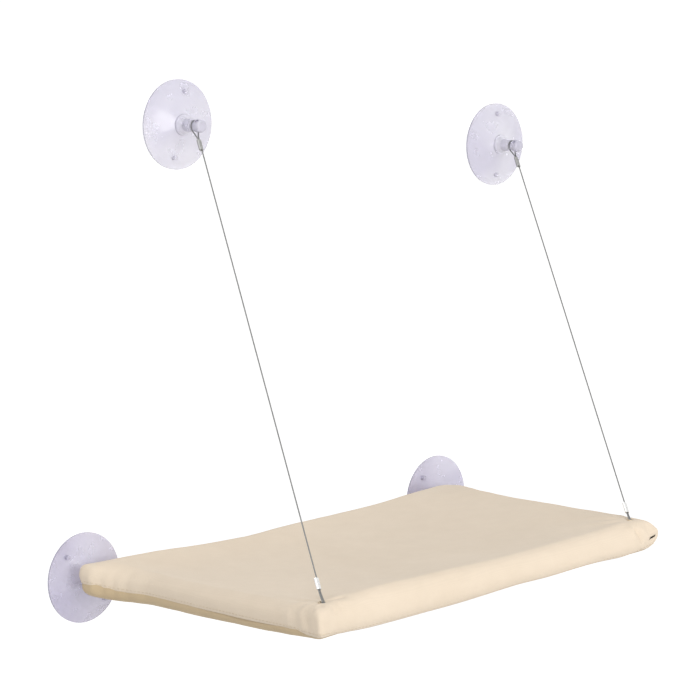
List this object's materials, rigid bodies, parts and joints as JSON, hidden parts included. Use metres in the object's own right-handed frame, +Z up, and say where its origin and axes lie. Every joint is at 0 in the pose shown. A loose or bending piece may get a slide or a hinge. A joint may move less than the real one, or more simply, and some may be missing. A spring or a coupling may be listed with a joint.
{
  "type": "window cat perch",
  "caption": "Fabric-covered tube frame that pivots on suction cups at its rear corners and hangs by steel cables from higher cups.",
  "frame": {"origin": "on the glass, midway between the two lower suction cups' centres", "axes": "+X to the right along the glass as seen from the room, +Y into the glass, +Z up; the perch stands out along -Y"},
  "size_m": [0.7422, 0.3427, 0.562],
  "materials": {
    "frame_tube": "smooth extruded tube",
    "corner": "moulded, fine grain",
    "cover_top": "soft short-pile fleece, beige",
    "cover_base": "plain woven lining, tan",
    "clear_cup": "clear soft vinyl with a faint blue tint, glossy",
    "cable": "twisted steel wire rope",
    "ferrule": "pressed sleeve"
  },
  "bodies": {
    "cups": {"lower_left_cup": "clear_cup", "lower_right_cup": "clear_cup", "upper_left_cup": "clear_cup", "upper_right_cup": "clear_cup", "left_cable": "cable", "right_cable": "cable", "upper_left_ferrule": "ferrule", "upper_right_ferrule": "ferrule"},
    "perch": {"rear_tube": "frame_tube", "front_tube": "frame_tube", "left_tube": "frame_tube", "right_tube": "frame_tube", "rear_left_corner": "corner", "rear_right_corner": "corner", "front_left_corner": "corner", "front_right_corner": "corner", "cover_top": "cover_top", "cover_base": "cover_base", "lower_left_ferrule": "ferrule", "lower_right_ferrule": "ferrule"}
  },
  "joints": [
    {"name": "perch_fold", "type": "hinge", "parent": "cups", "child": "perch", "pos_m": [0, -0.036, 0], "axis": [-1, 0, 0], "range_deg": [0, 85], "deforming": ["left_cable", "right_cable"]}
  ]
}
